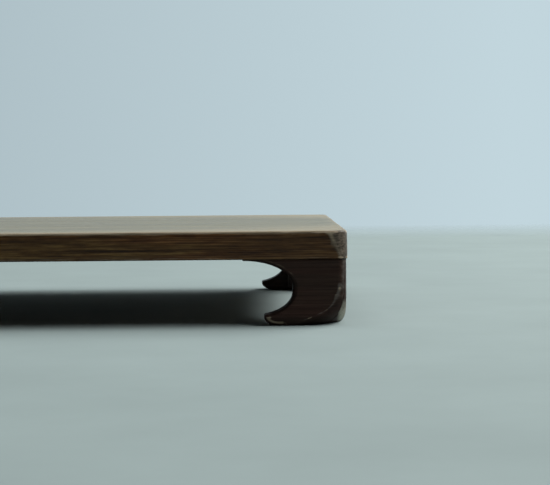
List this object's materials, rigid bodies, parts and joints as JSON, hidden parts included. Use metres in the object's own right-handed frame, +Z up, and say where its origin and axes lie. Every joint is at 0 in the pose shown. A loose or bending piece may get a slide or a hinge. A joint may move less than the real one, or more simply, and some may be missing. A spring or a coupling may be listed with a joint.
{
  "type": "display stand",
  "caption": "Low rectangular wooden display stand: a flat jointed board with softened corners, carried just above the floor on scroll-cut mitred bracket feet.",
  "frame": {"origin": "on the floor, below the centre of the board", "axes": "+X along the board's length, to the right seen from the front; +Y to the rear; +Z up"},
  "size_m": [0.455, 0.273, 0.0515],
  "materials": {
    "board_wood": "satin oiled mid-brown hardwood, worn at the corners",
    "foot_wood": "satin dark reddish-brown hardwood, rubbed pale on the arrises",
    "inner_wood": "planed and stained, unpolished",
    "bamboo": "split bamboo, unpolished"
  },
  "bodies": {
    "root": {"top_front_plank": "board_wood", "top_middle_plank": "board_wood", "top_rear_plank": "board_wood", "top_front_tongue": "inner_wood", "top_rear_tongue": "inner_wood", "left_batten": "inner_wood", "right_batten": "inner_wood", "front_left_foot_long_wing": "foot_wood", "front_left_foot_end_wing": "foot_wood", "front_left_mitre_key": "inner_wood", "front_left_corner_block": "inner_wood", "front_right_foot_long_wing": "foot_wood", "front_right_foot_end_wing": "foot_wood", "front_right_mitre_key": "inner_wood", "front_right_corner_block": "inner_wood", "rear_left_foot_long_wing": "foot_wood", "rear_left_foot_end_wing": "foot_wood", "rear_left_mitre_key": "inner_wood", "rear_left_corner_block": "inner_wood", "rear_right_foot_long_wing": "foot_wood", "rear_right_foot_end_wing": "foot_wood", "rear_right_mitre_key": "inner_wood", "rear_right_corner_block": "inner_wood", "block_dowels": "inner_wood", "batten_pegs": "bamboo", "wing_pegs": "bamboo"}
  },
  "joints": []
}
